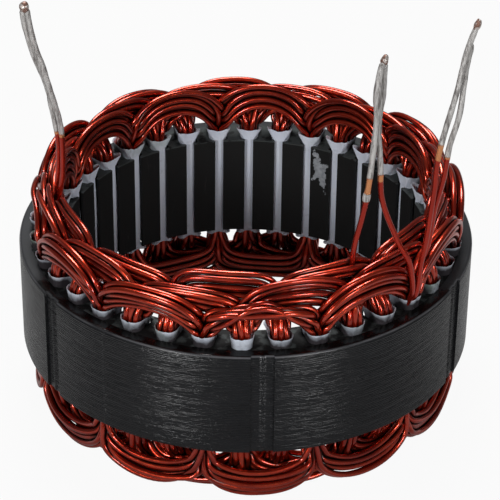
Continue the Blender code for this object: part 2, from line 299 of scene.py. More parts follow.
def slot_wall():
    """Half a slot's outline from the bore to its bottom, as angle from its middle and radius."""
    side = np.array([SLOT_OPENING, SLOT_OPENING, SLOT_WIDTH, SLOT_WIDTH, SLOT_WIDTH]) / 2
    side[-1] -= SLOT_CORNER
    radius = np.array([
        BORE_RADIUS, BORE_RADIUS + TOOTH_TIP, SLOT_TOP_RADIUS,
        SLOT_BOTTOM_RADIUS - SLOT_CORNER, SLOT_BOTTOM_RADIUS,
    ])
    return np.arctan2(side, radius), np.hypot(side, radius)


def core_teeth():
    """Every tooth's upper face, lower face and walls, as grids across the tooth and outwards."""
    side, reach = slot_wall()
    columns = sector_angles()
    corner = side[-1]
    across = columns[(columns > corner - 1e-6) & (columns < SLOT_PITCH - corner + 1e-6)]
    share = (across - corner) / (SLOT_PITCH - 2 * corner)
    starts = np.arange(SLOT_COUNT) * SLOT_PITCH
    angle = starts[:, None, None] + side[None, :, None]
    angle = angle + share * (SLOT_PITCH - 2 * side[None, :, None])
    upper = around(angle, reach[None, :, None], CORE_TOP)
    lower = around(angle, reach[None, :, None], CORE_BOTTOM)
    walls = []
    for tooth in range(SLOT_COUNT):
        for edge in (upper[tooth][:, 0], upper[tooth][:, -1], upper[tooth][0]):
            down = edge.copy()
            down[:, 2] = CORE_BOTTOM
            walls.append(np.stack((edge, down)))
    return list(upper) + list(lower) + walls


def core_slot_bottoms():
    """The narrow wall at the bottom of every slot, two columns each side of its middle."""
    across = BOTTOM_ANGLE * np.array([-1.0, -0.5, 0.0, 0.5, 1.0])
    angle = np.arange(SLOT_COUNT)[:, None] * SLOT_PITCH + across
    radius = SLOT_BOTTOM_RADIUS / np.cos(across)
    heights = (around(angle, radius, CORE_TOP), around(angle, radius, CORE_BOTTOM))
    return list(np.stack(heights, 1))


def paint_outside():
    """Black paint over stacked sheets, darker and lighter in clouds.

    On the rim's upper face the paint is greyer, but dark varnish has run over its front. A pale
    line painted along the rounded edge of that face is a painted highlight.
    """
    paint = Finish("black_outer_paint", IOR=1.5, Specular_IOR_Level=0.32)
    point = paint.place()
    height = paint.axis(point, 2)
    drag = paint.noise(0.0016, 4.0, 0.65, stretch=(0.22, 0.22, 2.0))
    cloud = paint.noise(0.02, 4.0, 0.6)
    thick = paint.levels(cloud, (0.35, 0.0), (0.7, 1.0))
    black = paint.blend(thick, rgb(0.006, 0.0065, 0.0078), rgb(0.011, 0.0115, 0.0135))
    top = paint.fade(height, CORE_TOP - 0.00020, CORE_TOP - 0.00004)
    behind = paint.axis(point, 1) + 0.03 * (cloud - 0.5)
    bare = top * paint.fade(behind, -0.034, -0.026)
    # Painted highlight: a pale grey line, in patches, along the rim's rounded upper edge, stands in
    # for light caught there
    edge = paint.fade(height, CORE_TOP - 0.00060, CORE_TOP - 0.00036) * (1.0 - top)
    worn_finish_and_rim_highlight = edge * paint.levels(cloud, (0.30, 0.2), (0.62, 1.0))
    varnished = paint.blend(top, black, rgb(0.0040, 0.0034, 0.0034))
    painted = paint.blend(worn_finish_and_rim_highlight, varnished, rgb(0.14, 0.14, 0.15))
    paint.paint("Base Color", paint.blend(bare, painted, rgb(0.042, 0.044, 0.048)))
    rough = paint.levels(drag, (0.3, 0.0), (0.75, 1.0))
    paint.paint("Roughness", 0.17 + 0.07 * rough + 0.2 * bare)
    paint.paint("Normal", sheet_relief(paint, point, height, drag))
    return paint


def sheet_relief(paint, point, height, drag):
    """The sheets as fine level ridges, which spread a light up and down, under dragged paint."""
    sway = paint.noise(0.0012, 2.0, stretch=(0.15, 0.15, 1.0))
    lines = (height + SHEET_SWAY * sway).pingpong(SHEET_PITCH / 2) * (2 / SHEET_PITCH)
    side = 1.0 - paint.fade(height, CORE_TOP - 0.0010, CORE_TOP - 0.0006)
    ridges = paint.relief(lines * (0.35 + 0.9 * drag) * side, 0.00014)
    seam = weld_seam(paint, point, height)
    dragged = paint.relief(0.4 * drag + 1.6 * seam, 0.00010, below=ridges)
    speckle = paint.relief(paint.noise(0.0009, 3.0, 0.7) * side, 0.00009, below=dragged)
    return paint.relief(paint.noise(0.0005, 2.0, 0.6), 0.00004, below=speckle)


def weld_seam(paint, point, height):
    """A beaded upright line where the sheets are welded: its distance from the seam's plane."""
    outward = (math.sin(SEAM_ANGLE), math.cos(SEAM_ANGLE), 0.0)
    beside = (math.cos(SEAM_ANGLE), -math.sin(SEAM_ANGLE), 0.0)
    across = paint.dot(point, beside)
    away = across.maths("ABSOLUTE", across, 0.0)
    this_side = paint.fade(paint.dot(point, outward), 0.0, 0.001)
    beads = height.pingpong(WELD_BEAD) * (0.54 / WELD_BEAD)
    return (1.0 - paint.fade(away, 0.0, 0.0006)) * this_side * (0.4 + beads)


def paint_inside():
    """Thin dull black paint on the teeth, with faint upright scratches, and a painted sheen of
    grey-green patches on their upper ends, more of them towards the back.
    """
    paint = Finish("dull_bore_paint", IOR=1.5, Specular_IOR_Level=0.2)
    point = paint.place()
    scratch = paint.noise(0.0016, 3.0, 0.6, stretch=(1.0, 1.0, 0.12))
    marks = paint.levels(scratch, (0.66, 0.0), (0.72, 1.0))
    black = paint.blend(marks, rgb(0.011, 0.0112, 0.0112), rgb(0.020, 0.020, 0.020))
    # Painted sheen: paler grey-green patches on the teeth's upper ends, more towards the back, stand
    # in for reflected light
    end = paint.fade(paint.axis(point, 2), CORE_TOP - 0.0003, CORE_TOP - 0.0001)
    behind = paint.fade(paint.axis(point, 1), -0.02, 0.02)
    painted_sheen = end * paint.levels(paint.noise(0.003, 3.0) + 0.16 * behind, (0.50, 0.0), (0.62, 1.0))
    with_painted_sheen = paint.blend(painted_sheen, black, rgb(0.066, 0.075, 0.074))
    chalk = paint.blend(paint.noise(0.0012, 3.0), rgb(0.10, 0.11, 0.12), rgb(0.56, 0.60, 0.64))
    here = paint.fade(paint.axis(point, 0), SMEAR_LIMIT - 0.0001, SMEAR_LIMIT + 0.0001)
    paint.paint("Base Color", paint.blend(smear(paint, point) * here, with_painted_sheen, chalk))
    paint.paint("Roughness", 0.62 - 0.2 * marks - 0.3 * painted_sheen)
    paint.paint("Normal", paint.relief(paint.noise(0.0006, 3.0), 0.00004))
    return paint


def smear(paint, point):
    """A ragged pale smear on one tooth: two crossing strokes, each an ellipse, broken by noise."""
    values = {0: point, 1: SMEAR_MIDDLE}
    off = paint.node("ShaderNodeVectorMath", {"operation": "SUBTRACT"}, values)
    first, second = [stroke(paint, off, *sizes) for sizes in SMEAR_STROKES]
    nearest = first.maths("MINIMUM", first, second)
    ragged = 1.6 * (paint.noise(0.0022, 4.0, 0.7) - 0.5) - 0.5 * nearest
    return paint.levels(ragged + 0.6, (0.22, 0.0), (0.30, 1.0))


def stroke(paint, off, length, width, way):
    """How far each point is out of an ellipse: 0 in its middle and 1 at its edge."""
    across, up = way
    right = (math.cos(SMEAR_ANGLE), -math.sin(SMEAR_ANGLE))
    along = (right[0] * across / length, right[1] * across / length, up / length)
    beside = (right[0] * up / width, right[1] * up / width, -across / width)
    first, second = paint.dot(off, along), paint.dot(off, beside)
    return first * first + second * second


core_walls = core_teeth() + core_slot_bottoms()
core = add_piece(
    "painted_core",
    [core_rim_band()] + core_walls,
    [paint_outside(), paint_inside()],
    merge=1e-6,
    worn_finish_and_rim_highlight=[0] + [1] * len(core_walls),
)
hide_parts("lamination_stack")


# The slot liners
# Each slot is lined with a sleeve of stiff insulating paper. Its ends are folded back
# over the core's face, which leaves a flared cuff round the wires at both ends.

PAPER = 0.00027
PAPER_GAP = 0.00008
CUFF_FOLD = 0.00015
CUFF_HEIGHT = 0.0029
CUFF_CORNER_RISE = 0.0012
CUFF_FLARE = 0.00090
# How far below the core's face a cuff's paper straightens
BELOW_FACE = 0.0008
# How large the cuffs at the other end are beside these
LOWER_CUFF = 0.4
# Where a cuff leaves the core it is as narrow as the slot's opening on the bore's side
NECK_HALF_WIDTH = 0.0013
NECK_TAPER = 0.78
# How darkly varnish stains and painted shade darken the upper cuffs at the front, by slot, and which
# ones the varnish greens
CUFF_STAIN_AND_SHADE = {
    9: 1.0, 10: 1.1, 11: 1.0, 12: 0.45, 13: 0.95, 14: 0.75, 15: 0.58, 16: 0.75, 17: 0.65, 18: 0.28,
    19: 0.8, 20: 0.6, 21: 0.68, 22: 0.7, 23: 0.75, 24: 1.1, 25: 1.1, 26: 0.9, 27: 1.0,
}
GREENED_CUFFS = {12: 0.9, 15: 0.4, 20: 0.6, 26: 1.0}


def liner_outline(steps=10):
    """A slot's lined outline: points, outward directions, and how near each is to a corner.

    The outline is a loop of straight sides and quarter-round corners, wider corners at the
    slot's bottom, all as (across the slot, out from the bore).
    """
    half = SLOT_WIDTH / 2 - PAPER_GAP
    inner = SLOT_TOP_RADIUS + PAPER_GAP
    outer = SLOT_BOTTOM_RADIUS - PAPER_GAP
    corners = [
        (half, outer, 0.0020, 0.0), (half, inner, 0.0005, 90.0),
        (-half, inner, 0.0005, 180.0), (-half, outer, 0.0020, 270.0),
    ]
    places, ways, nearness = [], [], []
    for side, radius, rounding, start in corners:
        turn = np.radians(start + np.linspace(0.0, 90.0, steps))
        way = np.stack((np.sin(turn), np.cos(turn)), -1)
        middle = np.array([side - math.copysign(rounding, side), 0.0])
        middle[1] = radius - rounding if radius == outer else radius + rounding
        places.append(middle + rounding * way)
        ways.append(way)
        nearness.append(np.full(steps, 1.0 if radius == inner else 0.45))
    loop, way, near = np.concatenate(places), np.concatenate(ways), np.concatenate(nearness)
    return with_side_points(loop, way, near)


def with_side_points(loop, way, near, spare=4):
    """Adds points along the straight runs between the corners, which lie lower than them."""
    after = np.roll(loop, -1, 0)
    gaps = np.linalg.norm(after - loop, axis=1)
    shares = np.linspace(0.0, 1.0, spare + 2)[1:-1]
    places, ways, nearness = [], [], []
    for index in range(len(loop)):
        places.append(loop[index:index + 1])
        ways.append(way[index:index + 1])
        nearness.append(near[index:index + 1])
        if gaps[index] > 0.001:
            run = shares[:, None]
            places.append(loop[index] * (1 - run) + after[index] * run)
            ways.append(np.repeat(way[index:index + 1], spare, 0))
            ends = near[index] * (1 - shares) + near[(index + 1) % len(loop)] * shares
            nearness.append(ends * np.abs(2 * shares - 1) ** 1.5)
    return np.concatenate(places), np.concatenate(ways), np.concatenate(nearness)


def liner_section(fold, flare, height, rise):
    """The wall's section along the slot: outer face up, over the folded rim, and down inside."""
    cuff = height * np.array([0.4, 8.0, 16.0, 24.0, 29.0, 31.0]) / 31
    lift = (cuff / height) ** 2
    outward = np.concatenate(([0.0, 0.0], fold + flare * lift))
    outward[-1] = fold * 0.55 + flare
    inward = np.array([flare * 0.9, flare * 0.55 - PAPER, flare * 0.1 - PAPER, -PAPER])
    inside = [height * 0.99, height * 0.8, height * 0.3, -BELOW_FACE]
    levels = np.concatenate(([-BELOW_FACE, 0.0], cuff, inside))
    share = np.concatenate(([0.0, 0.0], lift, [1.0, 0.75, 0.1, 0.0]))
    return np.concatenate((outward, inward)), levels, share * rise


def liner_grid(slot, dice):
    """One liner: its section at both ends, carried round the slot's outline as a closed tube."""
    loop, way, near = liner_outline()
    ends, necks = [], []
    for size in (1.0, LOWER_CUFF):
        height = CUFF_HEIGHT * dice.uniform(0.88, 1.08) * size
        rise = CUFF_CORNER_RISE * dice.uniform(0.6, 1.1) * size
        flare = CUFF_FLARE * dice.uniform(0.75, 1.15)
        ends.append(liner_section(CUFF_FOLD, flare, height, rise))
        necks.append(np.clip(1 - ends[-1][1] / (0.9 * height), 0.0, 1.0) ** 1.5)
    wave = dice.normal(0.0, 0.00009, (2, len(loop)))
    wave = (wave + np.roll(wave, 1, 1) + np.roll(wave, 2, 1)) / 3
    upper_out, upper_level, upper_rise = ends[0]
    lower_out, lower_level, lower_rise = ends[1]
    upper_high = CORE_TOP + upper_level + upper_rise * near[:, None]
    lower_high = CORE_BOTTOM - lower_level - lower_rise * near[:, None]
    upper_high = upper_high + wave[0][:, None] * (upper_level > 0.0005)
    lower_high = lower_high + wave[1][:, None] * (lower_level > 0.0005)
    middle = np.full((len(loop), 1), CORE_MIDDLE)
    high = np.concatenate((upper_high, middle, lower_high[:, ::-1], middle), 1)
    out = np.concatenate((upper_out, [-PAPER], lower_out[::-1], [0.0]))
    open_side = (0.25 + 0.75 * near)[:, None]
    shift = np.where(out > 0.0, out * open_side, out)
    neck = np.concatenate((necks[0], [0.0], necks[1][::-1], [0.0]))[None, :, None]
    pull = (necked(loop) - loop)[:, None, :] * neck
    place = loop[:, None, :] + pull + way[:, None, :] * shift[:, :, None]
    flat = np.concatenate((place, high[:, :, None]), 2)
    return turned(flat, slot * SLOT_PITCH)


def necked(loop):
    """The outline narrowed towards the bore, as the paper comes out of the slot's opening."""
    limit = NECK_HALF_WIDTH + NECK_TAPER * (loop[:, 1] - SLOT_TOP_RADIUS)
    across = np.sign(loop[:, 0]) * np.minimum(np.abs(loop[:, 0]), limit)
    return np.stack((across, loop[:, 1]), -1)


def turned(points, angle):
    """Points given as (across, out, height), turned from +Y towards +X."""
    across, out, high = points[..., 0], points[..., 1], points[..., 2]
    x = across * math.cos(angle) + out * math.sin(angle)
    y = out * math.cos(angle) - across * math.sin(angle)
    return np.stack((x, y, high), -1)


def finish_paper():
    """Pale lavender-grey paper, darkened by varnish stains and by painted shade, and greenish on some
    cuffs from the varnish.
    """
    paper = Finish("slot_paper", IOR=1.45, Specular_IOR_Level=0.35)
    fibres = paper.noise(0.0006, 4.0, 0.6, stretch=(1.0, 1.0, 0.25))
    clean = paper.blend(paper.noise(0.006, 3.0), rgb(0.76, 0.83, 1.0), rgb(0.88, 0.93, 1.0))
    soaked = paper.levels(paper.noise(0.004, 3.0), (0.36, 0.0), (0.54, 1.0))
    soaked = soaked * paper.attribute("greened")
    tinted = paper.blend(soaked, clean, rgb(0.24, 0.32, 0.27))
    # This mark holds varnish stains and painted shade together, and both darken the paper here
    patchy = paper.attribute("stained") + 0.7 * (paper.noise(0.0022, 4.0, 0.6) - 0.5)
    dark = paper.levels(patchy, (0.08, 0.0), (0.85, 1.0))
    paper.paint("Base Color", paper.blend(dark, tinted, rgb(0.045, 0.040, 0.045)))
    paper.paint("Roughness", 0.62 - 0.38 * soaked - 0.25 * dark - 0.1 * fibres)
    paper.paint("Normal", paper.relief(fibres, 0.00005))
    return paper


def liner_marks(slot, shape, dice):
    """How green each point is, and how dark from varnish stains and painted shade: the painted shade
    is darkest low down and on the sides.

    Only the ends that stand out of the core are marked, and their rims stay paler.
    """
    level = np.abs(shape[..., 2] - CORE_MIDDLE) - CORE_HALF
    upper = shape[..., 2] > CORE_MIDDLE
    cuff = level > -0.0004
    reach = np.hypot(shape[..., 0], shape[..., 1])
    outer_end = np.clip((reach - 0.0570) / 0.0035, 0.0, 1.0)
    beside = np.clip(1.0 - np.abs(reach - 0.0572) / 0.0034, 0.0, 1.0)
    rim = np.clip((level - 0.75 * CUFF_HEIGHT) / (0.2 * CUFF_HEIGHT), 0.0, 1.0)
    # Varnish stains and painted shade: the front cuffs' outer faces and the lower cuffs are darkened,
    # most low down near the core's face and on the sides, less at the rims
    stain_and_shade_by_slot = np.where(upper, CUFF_STAIN_AND_SHADE.get(slot, dice.uniform(0.3, 0.8)), 1.0)
    stained = (stain_and_shade_by_slot * outer_end + beside) * (1.35 - 0.75 * level / CUFF_HEIGHT - 0.2 * rim)
    greened = GREENED_CUFFS.get(slot, 0.4 * dice.uniform(0.0, 1.0) ** 3)
    return {
        "stained": (np.minimum(stained, 1.2) * cuff).astype(np.float32),
        "greened": (greened * cuff * upper).astype(np.float32),
    }


slot_paper = finish_paper()
paper_dice = np.random.default_rng(36)
for slot in range(SLOT_COUNT):
    shape = liner_grid(slot, paper_dice)
    sleeve = add_piece(
        f"paper_liner_{slot:02d}", [shape], [slot_paper], closed=(True, True),
        marks=liner_marks(slot, shape, paper_dice),
    )
    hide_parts(f"slot_liner_{slot:02d}")


# The lead wires
# The six ends of the phase wires are led up out of the end turns in three pairs. Their
# upper part is stripped and tinned by hand, and each pair is fused at its top.

LEAD_DIAMETER = 0.00150
LEAD_SIDES = 14
LEAD_POINTS = 150
# The tables of this section are in millimetres
MM = 0.001
OUTSIDE_RING = 61.75
IN_OUTER_RING = 59.35
IN_INNER_RING = 53.20
# For each lead: its slot, the height above the core at which its enamel ends, how far it is
# bare copper above that, and its route as (beside the slot, radius, height above the core)
LEAD_ROUTES = {
    "right_a": (13, 44.0, 4.0, [
        (1.0, 57.8, -3.0), (1.3, 59.2, 2.2), (1.8, OUTSIDE_RING, 6.2), (0.4, OUTSIDE_RING, 14.0),
        (-1.9, 61.95, 23.0), (-3.6, OUTSIDE_RING, 34.6), (-5.0, 61.55, 45.3), (-9.0, 63.85, 62.0),
        (-12.0, 64.3, 72.0), (-13.1, 65.0, 76.3), (-14.1, 66.2, 80.8),
    ]),
    "right_b": (13, 43.5, 0.2, [
        (-0.8, 57.4, -3.0), (-1.8, 58.6, 4.0), (-4.3, IN_OUTER_RING, 12.8), (-5.0, 60.95, 24.0),
        (-5.8, 62.15, 33.6), (-8.0, 63.15, 45.5), (-10.1, 64.35, 56.0), (-13.4, 64.3, 68.9),
        (-14.0, 64.8, 75.7),
    ]),
    "middle_a": (14, 36.5, 6.2, [
        (1.2, 54.6, -3.0), (3.0, 53.4, 6.0), (5.5, IN_INNER_RING, 11.5), (6.7, IN_INNER_RING, 15.6),
        (6.8, 53.85, 22.4), (4.9, 54.35, 34.1), (2.9, 54.85, 50.7), (2.0, 54.85, 59.7),
        (2.4, 54.85, 67.2), (1.7, 54.7, 73.3), (0.8, 54.9, 76.3),
    ]),
    "middle_b": (13, 41.0, 1.4, [
        (1.2, 57.6, -3.0), (2.2, 59.8, 3.0), (3.4, OUTSIDE_RING, 8.5), (4.5, OUTSIDE_RING, 15.5),
        (5.6, 60.65, 19.55), (6.8, 58.35, 24.0), (9.0, 55.55, 34.7), (9.6, 54.15, 48.0),
        (10.2, 54.2, 59.0), (9.7, 54.2, 66.6), (9.0, 54.2, 75.6),
    ]),
    "left_a": (26, 34.5, 0.3, [
        (-1.0, 54.6, -3.0), (-1.2, 53.8, 5.0), (-1.2, IN_INNER_RING, 11.0), (-0.9, 51.7, 18.7),
        (-0.8, 51.1, 24.0), (-0.6, 51.55, 37.2), (-0.6, 52.9, 45.4), (-0.6, 55.0, 54.1),
        (-0.5, 57.1, 61.2), (-0.5, 58.5, 68.0), (-0.5, 59.1, 73.8),
    ]),
    "left_b": (26, 35.0, 0.2, [
        (1.0, 56.2, -3.0), (1.3, 54.5, 5.0), (1.3, IN_INNER_RING, 11.0), (1.0, 52.7, 18.7),
        (0.8, 52.1, 25.0), (0.8, 52.5, 36.0), (0.8, 53.5, 44.1), (0.8, 55.7, 52.8),
        (0.8, 57.8, 59.8), (0.7, 59.5, 67.5), (0.6, 60.3, 73.3),
    ]),
}
# Lumps of solder: the lead, the height above the core, the added thickness and the length
SOLDER_LUMPS = [
    ("middle_a", 37.8, 0.7, 1.3), ("middle_a", 67.2, 0.6, 4.0),
    ("middle_b", 66.2, 0.6, 4.5), ("left_a", 56.0, 0.4, 4.0),
    ("left_b", 69.0, 0.4, 4.0), ("right_b", 73.5, 0.3, 1.5),
]


def smooth_line(points, count):
    """Evenly spaced points along a smooth line through the points.

    Between two points it is a cubic whose slope at each is half the difference of the
    neighbours on both sides.
    """
    points = np.asarray(points)
    padded = np.concatenate((2 * points[:1] - points[1:2], points, 2 * points[-1:] - points[-2:-1]))
    before, start, stop, after = padded[:-3], padded[1:-2], padded[2:-1], padded[3:]
    t = np.linspace(0.0, 1.0, 24, endpoint=False)[None, :, None]
    pull = (stop - before)[:, None] / 2 * t * (1 - t) ** 2
    pull = pull - (after - start)[:, None] / 2 * t**2 * (1 - t)
    blend = t * t * (3 - 2 * t)
    fine = (start[:, None] * (1 - blend) + stop[:, None] * blend + pull).reshape(-1, 3)
    fine = np.concatenate((fine, points[-1:]))
    reach = np.concatenate(([0.0], np.cumsum(np.linalg.norm(np.diff(fine, axis=0), axis=1))))
    wanted = np.linspace(0.0, reach[-1], count)
    return np.stack([np.interp(wanted, reach, fine[:, axis]) for axis in range(3)], -1)


def lead_line(slot, route, dice):
    """A lead's middle line in space, with the slight waviness of a wire bent by hand."""
    side, radius, height = np.array(route).T * MM
    points = around(slot * SLOT_PITCH + side / radius, radius, CORE_TOP + height)
    line = smooth_line(points, LEAD_POINTS)
    share = np.linspace(0.0, 1.0, LEAD_POINTS)[:, None]
    phase = dice.uniform(0.0, math.tau, (1, 3))
    turns = dice.uniform(2.0, 4.5, (1, 3))
    return line + 0.00022 * np.sin(math.tau * turns * share + phase) * np.sin(math.pi * share)


def tube(path, thickness, sides, closed):
    """Rings of points round a path, each starting in the direction away from the bore's axis."""
    if closed:
        along = np.roll(path, -1, 0) - np.roll(path, 1, 0)
    else:
        along = np.gradient(path, axis=0)
    along = along / np.linalg.norm(along, axis=1, keepdims=True)
    radial = path * np.array([1.0, 1.0, 0.0])
    radial = radial / np.linalg.norm(radial, axis=1, keepdims=True)
    out = radial - along * np.sum(radial * along, axis=1, keepdims=True)
    out = out / np.linalg.norm(out, axis=1, keepdims=True)
    across = np.cross(along, out)
    turn = np.linspace(0.0, math.tau, sides, endpoint=False)[None, :, None]
    ring = np.cos(turn) * out[:, None] + np.sin(turn) * across[:, None]
    return path[:, None] + ring * np.asarray(thickness).reshape(-1, 1, 1) / 2


def lumps_on(name, height):
    """For each lump on the lead: the added thickness, and how near each point is to its middle."""
    return [
        (added * MM, np.exp(-((height - middle * MM) / (length * MM)) ** 2))
        for lead, middle, added, length in SOLDER_LUMPS if lead == name
    ]


def lead_thickness(name, height, bare, dice):
    """The wire's diameter, uneven where it is tinned, with its lumps of solder."""
    steps = dice.normal(0.0, 1.0, len(height) // 3 + 2)
    uneven = np.interp(np.arange(len(height)), np.arange(len(steps)) * 3.0, steps)
    thickness = LEAD_DIAMETER + (0.00007 * uneven + 0.00006) * (height > bare)
    for added, nearness in lumps_on(name, height):
        thickness = thickness + added * nearness
    # The ends are closed to a point and rounded
    thickness[[0, -1]] = 1e-9
    thickness[[1, -2]] *= 0.75
    return thickness


def lead_marks(name, height, bare, copper):
    """How far each point is past the end of the enamel, and past the copper or under solder."""
    tinned = (height - bare - copper) / 0.0012
    for _, nearness in lumps_on(name, height):
        tinned = np.maximum(tinned, 3.0 * nearness - 1.0)
    marks = {"past_enamel": height - bare, "tinned": np.clip(tinned, 0.0, 1.0)}
    return {mark: np.repeat(value, LEAD_SIDES).astype(np.float32) for mark, value in marks.items()}


def finish_lead():
    """Red enamel below, a short run of bare copper, then uneven streaky tin."""
    lead = Finish("tinned_lead", IOR=1.5, Coat_Roughness=0.08, Coat_IOR=1.5)
    ragged = lead.attribute("past_enamel") + 0.0012 * (lead.noise(0.0012, 3.0) - 0.5)
    stripped = lead.fade(ragged, -0.0001, 0.0002)
    tinned = stripped * lead.levels(
        lead.attribute("tinned") + 0.5 * (lead.noise(0.0012, 3.0) - 0.5), (0.3, 0.0), (0.7, 1.0)
    )
    streak = lead.noise(0.0008, 4.0, 0.7, stretch=(1.0, 1.0, 0.16))
    grit = lead.noise(0.0005, 3.0, 0.7)
    shine = lead.levels(streak, (0.36, 0.0), (0.56, 1.0))
    tin = lead.blend(shine, rgb(0.22, 0.20, 0.19), rgb(0.70, 0.68, 0.66))
    cloud = lead.noise(0.006, 3.0)
    enamel = lead.blend(cloud, rgb(0.36, 0.014, 0.005), rgb(0.56, 0.034, 0.011))
    copper = lead.blend(cloud, rgb(0.80, 0.28, 0.10), rgb(0.90, 0.42, 0.20))
    bare = lead.blend(tinned, copper, tin)
    lead.paint("Base Color", lead.blend(stripped, enamel, bare))
    lead.paint("Metallic", 0.8 - 0.4 * tinned)
    lead.paint("Roughness", 0.26 + 0.26 * tinned * grit + 0.1 * tinned)
    lead.paint("Coat Weight", 0.5 - 0.5 * stripped)
    bumpy = lead.relief(grit * tinned, 0.00018)
    lead.paint("Normal", lead.relief(streak * tinned, 0.00022, below=bumpy))
    return lead


tinned_lead = finish_lead()
lead_dice = np.random.default_rng(11)
lead_lines = {}
for name, (slot, bare, copper, route) in LEAD_ROUTES.items():
    line = lead_line(slot, route, lead_dice)
    height = line[:, 2] - CORE_TOP
    thickness = lead_thickness(name, height, bare * MM, lead_dice)
    wire = add_piece(
        f"lead_wire_{name}", [tube(line, thickness, LEAD_SIDES, False)], [tinned_lead],
        closed=(False, True), merge=1e-7, marks=lead_marks(name, height, bare * MM, copper * MM),
    )
    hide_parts(f"lead_{name}")
    lead_lines[name] = line


# The fused tips
# The two wires of a pair are melted together at their ends into one small rough bead of
# copper, which the tin only partly wets.

BEAD_WIDTH = {"right": 0.0018, "middle": 0.0023, "left": 0.0028}
BEAD_LENGTH = 0.0032


def bead(middle, along, width, dice):
    """A lumpy ball: every direction's reach is one plus a few slow waves, longer along."""
    turn = np.linspace(0.0, math.tau, 28, endpoint=False)[None, :]
    fall = np.linspace(0.0, math.pi, 18)[:, None]
    level = np.cos(fall) + 0 * turn
    way = np.stack((np.sin(fall) * np.cos(turn), np.sin(fall) * np.sin(turn), level), -1)
    waves = dice.normal(0.0, 1.0, (6, 3)) * 2.2
    lumps = np.cos(way @ waves.T + dice.uniform(0.0, math.tau, 6)).sum(-1) * 0.05
    along = along / np.linalg.norm(along)
    side = np.cross(along, [0.0, 1.0, 0.0])
    side = side / np.linalg.norm(side)
    frame_axes = np.stack((side, np.cross(along, side), along))
    reach = way * (1 + lumps)[..., None] * np.array([width, width, BEAD_LENGTH]) / 2
    return middle + reach @ frame_axes


def finish_bead():
    """Dull oxidised copper, partly wetted by tin."""
    copper = Finish("fused_copper", IOR=1.5)
    fleck = copper.levels(copper.noise(0.0012, 4.0, 0.6), (0.50, 0.0), (0.60, 1.0))
    dark = copper.blend(copper.noise(0.002, 3.0), rgb(0.10, 0.045, 0.040), rgb(0.40, 0.22, 0.16))
    copper.paint("Base Color", copper.blend(fleck, dark, rgb(0.70, 0.64, 0.60)))
    copper.paint("Metallic", 0.5)
    copper.paint("Roughness", 0.42 - 0.1 * fleck)
    copper.paint("Normal", copper.relief(copper.noise(0.0007, 3.0), 0.00015))
    return copper


fused_copper = finish_bead()
for pair in ("right", "middle", "left"):
    first, second = lead_lines[f"{pair}_a"], lead_lines[f"{pair}_b"]
    # On the right the second wire ends lower, and the first one carries the bead alone
    ends = [first] if pair == "right" else [first, second]
    along = sum(line[-1] - line[-6] for line in ends)
    middle = sum(line[-1] for line in ends) / len(ends)
    middle = middle + along / np.linalg.norm(along) * BEAD_LENGTH * 0.1
    tip = add_piece(
        f"fused_tip_{pair}", [bead(middle, along, BEAD_WIDTH[pair], lead_dice)], [fused_copper],
        closed=(False, True), merge=1e-7,
    )
    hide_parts(f"lead_tip_{pair}")


# The windings
# Three phases, each of two waves that share every third slot. A wave is seven round
# copper wires in red enamel, laid by hand round the core as loose nested arches.

WIRE_DIAMETER = 0.00160
WIRES_PER_WAVE = 7
WIRE_SIDES = 12
ARCHES = 12
ARCH_SPAN = 3
# The shapes of what varies from wire to wire in each arch, and from arch to arch
PER_WIRE = (WIRES_PER_WAVE, ARCHES, 1)
PER_HANK = (1, ARCHES, 1)
ARCH_POINTS = 31
RISER_POINTS = 5
LEG_POINTS = 4
LEG_PITCH = 0.00160
LEG_ROWS = np.linspace(0.05355, 0.05925, 5)
INNER_COLUMN = 0.53
# The heights above the core's face where a wire leaves its leg and where its arch starts, and
# how much more of a start wires need that travel far from the slot to their ring
LEG_TOP = 0.0028
LOW_SHOULDER = 0.0040
SHOULDER_PER_TRAVEL = 0.55
MIDDLE_COLUMN_RISE = 0.0012
LEAST_RISE = 0.0026
# The heights of an arch's lowest and highest crown, and the widest step between two crowns
LOW_CROWN = {"u": 0.0108, "v": 0.0090, "w": 0.0100}
HIGH_CROWN = 0.0167
WIDEST_STEP = 0.00120
CROWN_JITTER = 0.0006
# How far from the middle of its slot the lowest and the highest wire of an arch comes down
LOW_FORK = 0.0022
HIGH_FORK = {"u": -0.0008, "v": -0.0004, "w": 0.0009}
RING_RADIUS = {"u": 0.0525, "v": 0.0560, "w": 0.0594}
RING_ZIGZAG = 0.0005
# How full the arches of each phase are: across their tops, and down their sides. The third
# number is how much fuller they are behind the bore than in front of it
FULLNESS = {"u": (3.0, 2.2, -0.9), "v": (2.4, 1.8, 0.0), "w": (2.0, 1.5, 0.3)}
# How much higher than the outer ring's the crowns of each phase stand on the lead side
LIFT = {"u": 0.0018, "v": 0.0006, "w": 0.0}
# Arches that were pressed lower than the rest: by phase and first slot
PRESSED_DOWN = {
    ("w", 16): 0.0060, ("w", 19): 0.0036, ("w", 22): 0.0014,
    ("v", 15): 0.0004, ("v", 18): 0.0018, ("v", 21): 0.0010,
    ("u", 14): 0.0006, ("u", 20): 0.0030,
}
# Arches that were pushed in towards the bore, by phase and first slot
PUSHED_IN = {("w", 25): 0.0024, ("w", 28): 0.0008}
# Arches whose lower wires were pulled up into a bunch, by phase and first slot, and how far
# that spreads the wires inwards and outwards
BUNCHED = {("w", 16): 0.0044}
BUNCH_SPREAD = 0.16
# How loosely the wires of each phase lie beside each other
LOOSENESS = {"u": 0.3, "v": 1.0, "w": 1.0}
# How much further from the core the arches of the other end start, and how much fuller they are
STRAIGHT_BELOW = 0.0024
FULLER_BELOW = -0.3
# The radii that the wires' middle lines keep to
WIRE_REACH = (BORE_RADIUS + 0.0011, 0.0609)
# How many of the next points, in order of angle, each point is compared with
PUSHED_NEIGHBOURS = 90
SHADED_NEIGHBOURS = 110


def ease(value, start, stop):
    """0 below start, 1 above stop, and a smooth rise between them."""
    share = np.clip((value - start) / (stop - start), 0.0, 1.0)
    return share * share * (3 - 2 * share)


